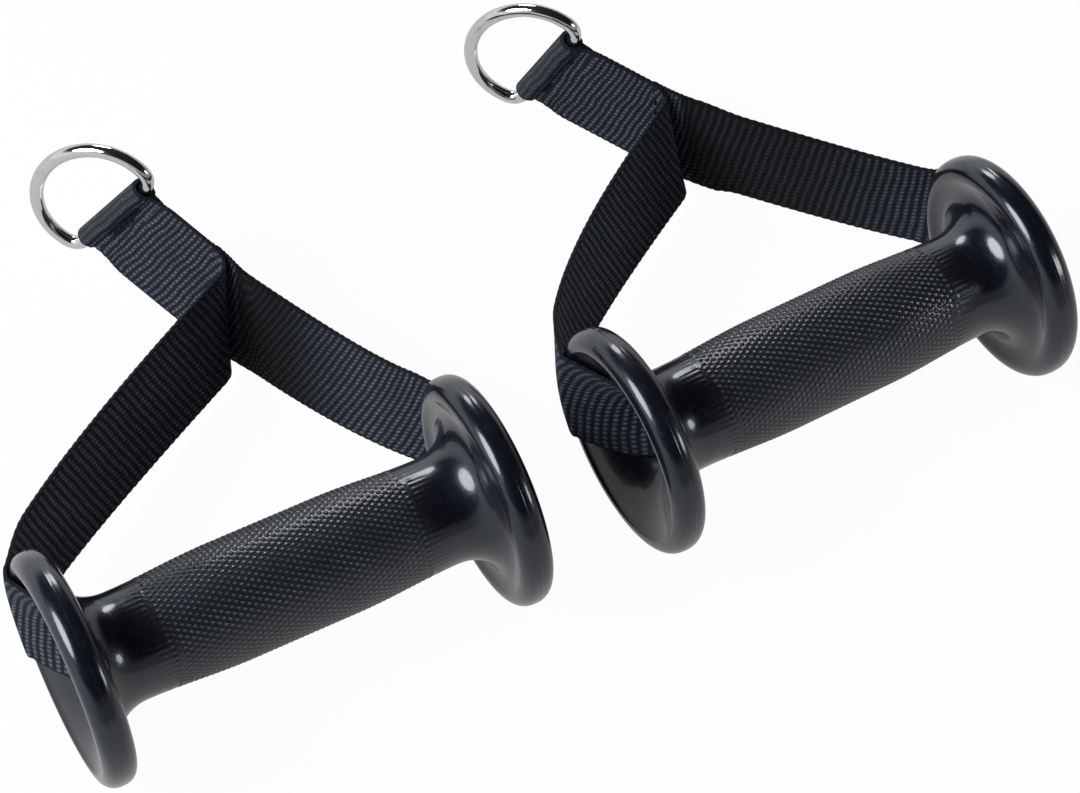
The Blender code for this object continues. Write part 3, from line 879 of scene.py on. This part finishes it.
def strap_piece(key, look, nylon):
    """One length of webbing as an even grid laid through the stations, then given its wall."""
    strap = Strap(key)
    place = strap_place(key)
    length = strap.runs[-1]
    rows = int(length / (look.pick_pitch / FACES_PER_ROW))
    shape = bmesh.new()
    bmesh.ops.create_grid(shape, x_segments=WEB_COLUMNS, y_segments=rows, size=0.5)
    cloth = shape.loops.layers.uv.new("weave")
    sewn = shape.verts.layers.float.new("sewn")
    taut = shape.verts.layers.float.new("taut")
    dim = shape.verts.layers.float.new("dim")
    spots = {}
    for vertex in shape.verts:
        share = vertex.co.x + 0.5
        run = (vertex.co.y + 0.5) * length
        spot = strap.spot(run, share)
        on_stem = 1 - smooth((strap.beside_stem(spot.centre) - STEM_REACH) / STEM_FADE)
        woven_run = spot.woven + strap.row_shift(spot, run, on_stem)
        vertex[sewn] = on_stem * strap.sewn_in(spot, look.stitch_length)
        vertex[taut] = smooth((spot.out + TAUT_BEFORE) / TAUT_RUN)
        # painted shade on each leg where it comes out of the stem
        vertex[dim] = strap.painted_shade_amount(spot, on_stem)
        loose = (1 - vertex[taut]) * (1 - vertex[sewn])
        row = abs(math.sin(math.pi * woven_run / look.pick_pitch))
        side = (share > 0.99) - (share < 0.01)
        edge = EDGE_BUMP * (row - EDGE_LEVEL) * loose * side
        spots[vertex] = (place @ (spot.point + spot.line * edge), woven_run, share * WEB_WIDTH)
    for face in shape.faces:
        for corner in face.loops:
            corner[cloth].uv = spots[corner.vert][1:]
    for vertex, spot in spots.items():
        vertex.co = spot[0]
    piece = link_piece("webbing_" + key, shape, "strap_" + key, nylon)
    wall = piece.modifiers.new("wall", "SOLIDIFY")
    wall.thickness = PRESSED_THICKNESS
    wall.offset = 0.0
    wall.use_even_offset = False
    rounding = piece.modifiers.new("rounding", "BEVEL")
    rounding.width = 0.00040
    rounding.segments = 2
    rounding.limit_method = "ANGLE"
    rounding.angle_limit = math.radians(60.0)
    return piece, length


def weave_height(shade, look, run, across, plain):
    """Height of the yarns, 0 between them and 1 on top, and how bright each one is."""
    pick = shade.math("DIVIDE", run, look.pick_pitch)
    odd = shade.math("FLOORED_MODULO", shade.math("FLOOR", pick), 2.0)
    yarn = shade.plus(shade.times(across, look.yarns / WEB_WIDTH), shade.times(odd, 0.5))
    pick_hump, yarn_hump = [shade.math("SINE", shade.times(shade.math("FRACT", turn), math.pi))
                            for turn in (pick, yarn)]
    row = shade.span(pick_hump, 0.42, 0.96)
    knot = shade.times(row, shade.span(yarn_hump, 0.30, 0.98, 0.20, 1.0))
    each = shade.add("TexWhiteNoise")
    pair = shade.add("CombineXYZ")
    shade.feed(pair.inputs[0], shade.math("FLOOR", pick))
    shade.feed(pair.inputs[1], shade.math("FLOOR", yarn))
    shade.links.new(pair.outputs[0], each.inputs["Vector"])
    own = shade.span(each.outputs["Value"], 0.0, 1.0, 0.62, 1.12)
    cord = shade.span(shade.ripple(run, 0.0009), -1.0, 1.0, 0.0, 0.16)
    height = shade.plus(shade.times(knot, shade.math("SUBTRACT", 1.0, plain)),
                        shade.times(cord, plain))
    return height, own


def woven_nylon(look):
    """Coarse plain weave on the strap's own coordinates, in metres along and across."""
    shade = Shade("woven nylon")
    source = shade.add("UVMap")
    source.uv_map = "weave"
    split = shade.add("SeparateXYZ")
    shade.links.new(source.outputs[0], split.inputs[0])
    run, across = split.outputs[0], split.outputs[1]
    edge = shade.math("MINIMUM", across, shade.math("SUBTRACT", WEB_WIDTH, across))
    plain = shade.span(edge, look.selvedge, look.selvedge * 0.7)
    height, own = weave_height(shade, look, run, across, plain)
    spot = shade.place()
    fibre = shade.noise(spot, 2600.0, 3.0, 0.6)
    uneven = shade.noise(spot, 70.0, 3.0)
    light = shade.times(height, shade.span(uneven, 0.25, 0.75, 0.70, 1.05))
    light = shade.times(light, own)
    light = shade.times(light, shade.span(fibre, 0.3, 0.7, 0.7, 1.15))
    # painted shade in the dents round the stitches
    light = shade.times(light, shade.span(shade.attribute("sewn"), 0.0, 0.6, 1.0, 0.06))
    colour = shade.blend(light, opaque(look.sunk), opaque(look.raised))
    drawn = shade.times(shade.span(shade.ripple(run, 0.0010), -1.0, 1.0, 0.45, 1.0),
                        shade.span(fibre, 0.3, 0.7, 0.7, 1.1))
    colour = shade.blend(shade.times(shade.attribute("taut"), drawn), colour, opaque(look.fold))
    # painted shade on the plain edges and the wall's sides, which keeps their lit faces dark
    colour = shade.blend(shade.times(plain, 0.6), colour, (0.004, 0.005, 0.008, 1.0))
    # painted shade where the legs come out of the stem, darkest at the meeting line
    colour = shade.blend(shade.attribute("dim"), colour, (0.002, 0.0025, 0.003, 1.0))
    rough = shade.span(height, 0.0, 1.0, 0.92, 0.62)
    woven = shade.relief(height, 1.0, 0.0007)
    normal = shade.relief(fibre, 0.15, 0.0002, woven)
    return shade.finish(Base_Color=colour, Roughness=rough, Normal=normal,
                        Specular_IOR_Level=0.22, Sheen_Weight=0.05, Sheen_Roughness=0.4,
                        Sheen_Tint=(0.75, 0.82, 1.0, 1.0))


def sew(key, look, thread):
    """Runs of stitches through the stem, seen on its front and on its back."""
    lay = LAYS[key]
    place = strap_place(key)
    along, _, front = stem_frame(lay)
    shape = bmesh.new()
    thick = 0.00062
    half = PRESSED_THICKNESS / 2
    for distance, reach in stitch_spots(key):
        for side in (1, -1):
            station = stem_station(lay, distance, side)
            spot = station.centre + station.across * reach + front * side * half
            stand = frame_at(station.across, along, front, spot)
            slim = Matrix.Diagonal((look.stitch_length / 2, thick, thick * 0.8, 1.0))
            bmesh.ops.create_uvsphere(shape, u_segments=8, v_segments=6, radius=1.0,
                                      matrix=place @ stand @ slim
                                      @ Matrix.Rotation(math.pi / 2, 4, "Y"))
    return link_piece("stitches_" + key, shape, "strap_" + key, thread)


def sewing_thread(look):
    """Twisted dark thread."""
    shade = Shade("sewing thread")
    twist = shade.noise(shade.place((1.0, 1.0, 3.0)), 1400.0, 2.0)
    colour = shade.blend(twist, opaque(look.thread), (0.008, 0.009, 0.014, 1.0))
    normal = shade.relief(twist, 0.5, 0.0003)
    return shade.finish(Base_Color=colour, Roughness=0.8, Normal=normal, Specular_IOR_Level=0.2)


# Rings

def ring_path():
    """Middle line of the D-ring in its own plane: bar along X, bow towards +Y."""
    half = RING_INNER_WIDTH / 2 + RING_WIRE_RADIUS + RING_WIDENING
    rise = (RING_HEIGHT - RING_BAR_DROP) / half
    bow = arc(0.0, 0.0, half, 0.0, math.pi, 96)
    points = [Vector((x, RING_BAR_DROP + y * rise, 0.0)) for x, y in bow]
    left = Vector((-half, 0.0, 0.0))
    right = Vector((half, 0.0, 0.0))
    points += bend_points(points[-1], left, right, RING_CORNER_RADIUS, 10)
    points += bend_points(left, right, points[0], RING_CORNER_RADIUS, 10)
    return points


def ring_place(key):
    """The D-ring's frame: the bar along X and its bow along Y."""
    lay = LAYS[key]
    along, _, front = stem_frame(lay)
    fold_across, outward = fold_frame(lay)
    lifted = outward * math.cos(lay.ring_lift) + front * math.sin(lay.ring_lift)
    middle = Vector((lay.shift, lay.reach, 0.0)) + along * STEM_LENGTH
    return strap_place(key) @ frame_at(fold_across, lifted, fold_across.cross(lifted), middle)


def ring_piece(key, look, plated):
    """Round wire rolled round its path from a grid, closed on itself both ways."""
    path = ring_path()
    shape = bmesh.new()
    bmesh.ops.create_grid(shape, x_segments=look.wire_steps, y_segments=len(path), size=0.5)
    for vertex in shape.verts:
        index = round((vertex.co.y + 0.5) * len(path)) % len(path)
        angle = math.tau * (vertex.co.x + 0.5)
        run = (path[(index + 1) % len(path)] - path[index - 1]).normalized()
        out = Vector((run.y, -run.x, 0.0))
        offset = out * math.cos(angle) + Vector((0, 0, 1)) * math.sin(angle)
        vertex.co = path[index] + offset * RING_WIRE_RADIUS
    bmesh.ops.remove_doubles(shape, verts=shape.verts, dist=0.000001)
    bmesh.ops.recalc_face_normals(shape, faces=shape.faces)
    bmesh.ops.transform(shape, matrix=ring_place(key), verts=shape.verts)
    piece = link_piece("welded_ring_" + key, shape, "d_ring_" + key, plated)
    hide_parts("d_ring_" + key)
    return piece


def plated_steel(look):
    """Bright plating over drawn wire, with faint draw marks and pits."""
    shade = Shade("plated steel")
    spot = shade.place()
    marks = shade.noise(shade.place((1.0, 1.0, 0.25)), 700.0, 4.0)
    cloud = shade.noise(spot, 90.0, 2.0)
    rough = shade.plus(shade.span(cloud, 0.3, 0.7, look.polish - 0.03, look.polish + 0.04),
                       shade.span(marks, 0.5, 0.8, 0.0, 0.07))
    colour = shade.blend(shade.span(marks, 0.55, 0.8), opaque(look.chrome),
                         (0.62, 0.61, 0.60, 1.0))
    normal = shade.relief(marks, 0.05, 0.0004)
    return shade.finish(Base_Color=colour, Metallic=1.0, Roughness=rough, Normal=normal)


# Core tubes

def extruded_plastic():
    """Matte black plastic tube with faint draw lines and dust."""
    shade = Shade("extruded plastic")
    lines = shade.noise(shade.place((0.02, 1.0, 1.0)), 900.0, 3.0)
    dust = shade.noise(shade.place(), 260.0, 4.0)
    colour = shade.blend(shade.span(dust, 0.5, 0.8), (0.022, 0.022, 0.024, 1.0),
                         (0.05, 0.05, 0.052, 1.0))
    rough = shade.span(lines, 0.3, 0.7, 0.42, 0.6)
    normal = shade.relief(lines, 0.2, 0.0003)
    return shade.finish(Base_Color=colour, Roughness=rough, Normal=normal)


# Stage

def floor_finish(look):
    """Pale floor that keeps a soft shadow and shows plain white to the camera."""
    shade = Shade("studio floor")
    links = shade.links
    path = shade.add("LightPath")
    to_camera = path.outputs["Is Camera Ray"]
    colour = shade.blend(to_camera, opaque(look.floor), (0.97, 0.97, 0.97, 1.0))
    shade.finish(Base_Color=colour, Roughness=0.9, IOR=1.2)
    glow = shade.add("Emission")
    glow.inputs["Color"].default_value = (1.0, 1.0, 1.0, 1.0)
    glow.inputs["Strength"].default_value = 1.0
    reflected = shade.math("MAXIMUM", path.outputs["Is Glossy Ray"],
                           path.outputs["Is Transmission Ray"])
    seen = shade.math("MAXIMUM", shade.times(to_camera, 0.965),
                      shade.times(reflected, 0.42))
    mix = shade.add("MixShader")
    links.new(seen, mix.inputs[0])
    links.new(shade.surface.outputs[0], mix.inputs[1])
    links.new(glow.outputs[0], mix.inputs[2])
    links.new(mix.outputs[0], shade.nodes["Material Output"].inputs[0])
    return shade.material


# Each lamp: its size, its place and its tint
LAMPS = {
    "key": ((1.15, 1.05), (-1.36, 0.11, 1.17), (0.94, 0.97, 1.0)),
    "back": ((0.50, 0.40), (0.31, 1.15, 0.76), (1.0, 1.0, 1.0)),
    "front": ((0.34, 0.34), (0.88, -0.78, 0.56), (1.0, 1.0, 1.0)),
}
LIT_SPOT = (0, 0, 0.03)


def soft_lamp(name, power, size, spot, tint):
    """An oval soft lamp that looks at the middle of the pair."""
    lamp = bpy.data.lights.new(name, "AREA")
    lamp.shape = "ELLIPSE"
    lamp.size = size[0]
    lamp.size_y = size[1]
    lamp.energy = power
    lamp.color = tint
    thing = put(name, lamp)
    thing.location = spot
    thing.rotation_euler = (Vector(LIT_SPOT) - Vector(spot)).to_track_quat("-Z", "Y").to_euler()


def room_light(world, look):
    """Dim even light, with pale walls all round, paler at the left and behind, for what is glossy."""
    shade = Shade("room", world)
    direction = shade.add("TexCoord").outputs["Generated"]
    split = shade.add("SeparateXYZ")
    shade.links.new(direction, split.inputs[0])
    facing = shade.add("VectorMath")
    facing.operation = "DOT_PRODUCT"
    facing.inputs[1].default_value = (-0.62, 0.78, 0.0)
    shade.links.new(direction, facing.inputs[0])
    side = shade.span(facing.outputs["Value"], -0.6, 0.4, 0.35, 1.0)
    wall = shade.times(shade.span(split.outputs[2], 0.42, 0.26, 0.03, 0.80), side)
    path = shade.add("LightPath")
    glossy = path.outputs["Is Glossy Ray"]
    plain = shade.times(shade.math("SUBTRACT", 1.0, glossy), look.sky)
    strength = shade.math("MULTIPLY_ADD", wall, glossy, plain)
    backdrop = shade.nodes["Background"]
    backdrop.inputs["Color"].default_value = (0.94, 0.97, 1.0, 1.0)
    shade.links.new(strength, backdrop.inputs["Strength"])


def photo_camera(look):
    """The photograph's view, worked out from the four flanges and fixed to handle a's grip."""
    elevation = math.radians(54.3)
    grip_heading = math.radians(27.6)
    distance = 1.207
    grip_in_view = Vector((-0.0820, -0.0999, 0.0))
    turn = Matrix.Rotation(-grip_heading, 3, "Z")
    back = turn @ Vector((0, -math.cos(elevation), math.sin(elevation)))
    right = turn @ Vector((1, 0, 0))
    grip = handle_place("a").translation
    origin = Vector((grip.x, grip.y, 0.0)) - turn @ grip_in_view
    lens = bpy.data.cameras.new("photo view")
    lens.lens = look.focal_length
    lens.sensor_width = 36.0
    lens.clip_start = 0.05
    lens.clip_end = 50.0
    camera = put("photo view", lens)
    camera.matrix_world = frame_at(right, back.cross(right), back, origin + back * distance)
    bpy.context.scene.camera = camera


class HANDLES_OT_stage(bpy.types.Operator):
    """Make the floor, the lamps, the room light and the camera"""

    bl_idname = "cable_handles.stage"
    bl_label = "Stage"

    def execute(self, context):
        look = context.scene.handle_stage
        shape = bmesh.new()
        bmesh.ops.create_grid(shape, x_segments=2, y_segments=2, size=4.0,
                              matrix=Matrix.Translation((0, 0, -0.0004)))
        mesh = bpy.data.meshes.new("studio_floor")
        shape.to_mesh(mesh)
        shape.free()
        mesh.materials.append(floor_finish(look))
        put("studio_floor", mesh)
        for name, (size, spot, tint) in LAMPS.items():
            soft_lamp(name + " lamp", getattr(look, name + "_power"), size, spot, tint)
        world = bpy.data.worlds.new("room")
        context.scene.world = world
        world.use_nodes = True
        room_light(world, look)
        context.scene.view_settings.view_transform = "Standard"
        photo_camera(look)
        return {"FINISHED"}


class HANDLES_OT_grips(bpy.types.Operator):
    """Replace both plain grips with knurled, moulded ones"""

    bl_idname = "cable_handles.grips"
    bl_label = "Grips"

    def execute(self, context):
        look = context.scene.handle_grips
        rubber = moulded_rubber(look)
        for key in "ab":
            grip_piece(key, look, rubber)
        return {"FINISHED"}


class HANDLES_OT_straps(bpy.types.Operator):
    """Replace both straps with woven webbing and sew their stems"""

    bl_idname = "cable_handles.straps"
    bl_label = "Straps and stitches"

    def execute(self, context):
        look = context.scene.handle_webbing
        woven = woven_nylon(look)
        thread = sewing_thread(look)
        for key in "ab":
            webbing, length = strap_piece(key, look, woven)
            stitches = sew(key, look, thread)
            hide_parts("strap_" + key)
        return {"FINISHED"}


class HANDLES_OT_rings(bpy.types.Operator):
    """Replace both plain rings with plated, welded D-rings"""

    bl_idname = "cable_handles.rings"
    bl_label = "D-rings"

    def execute(self, context):
        look = context.scene.handle_rings
        plated = plated_steel(look)
        for key in "ab":
            ring_piece(key, look, plated)
        return {"FINISHED"}


class HANDLES_OT_cores(bpy.types.Operator):
    """Give the core tubes their plastic"""

    bl_idname = "cable_handles.cores"
    bl_label = "Core tubes"

    def execute(self, context):
        plastic = extruded_plastic()
        for key in "ab":
            node = frame["nodes"]["core_tube_" + key]
            for slot in node.material_slots:
                slot.material = plastic
        return {"FINISHED"}


class HANDLES_PT_panel(bpy.types.Panel):
    """Lists the steps that dress the handles, with their sizes and colours"""

    bl_idname = "HANDLES_PT_panel"
    bl_label = "Cable handles"
    bl_space_type = "VIEW_3D"
    bl_region_type = "UI"
    bl_category = "Cable handles"

    def draw(self, context):
        scene = context.scene
        for group, operator in ((scene.handle_grips, HANDLES_OT_grips),
                                (scene.handle_webbing, HANDLES_OT_straps),
                                (scene.handle_rings, HANDLES_OT_rings),
                                (None, HANDLES_OT_cores),
                                (scene.handle_stage, HANDLES_OT_stage)):
            box = self.layout.box()
            box.operator(operator.bl_idname)
            if group is not None:
                for name in group.__annotations__:
                    box.prop(group, name)


SETTINGS = {"handle_grips": GripLook, "handle_webbing": WebbingLook, "handle_rings": RingLook,
            "handle_stage": StageLook}
CLASSES = (*SETTINGS.values(), HANDLES_OT_grips, HANDLES_OT_straps, HANDLES_OT_rings,
           HANDLES_OT_cores, HANDLES_OT_stage, HANDLES_PT_panel)


def register():
    """Register the classes and hang the settings on the scene."""
    for one in CLASSES:
        bpy.utils.register_class(one)
    for name, group in SETTINGS.items():
        setattr(bpy.types.Scene, name, PointerProperty(type=group))


def unregister():
    """Take the settings and the classes away again."""
    for name in SETTINGS:
        delattr(bpy.types.Scene, name)
    for one in reversed(CLASSES):
        bpy.utils.unregister_class(one)


def main():
    """Dress the frame and set the stage."""
    register()
    bpy.ops.cable_handles.stage()
    bpy.ops.cable_handles.grips()
    bpy.ops.cable_handles.rings()
    bpy.ops.cable_handles.cores()
    bpy.ops.cable_handles.straps()


if __name__ == "__main__":
    main()
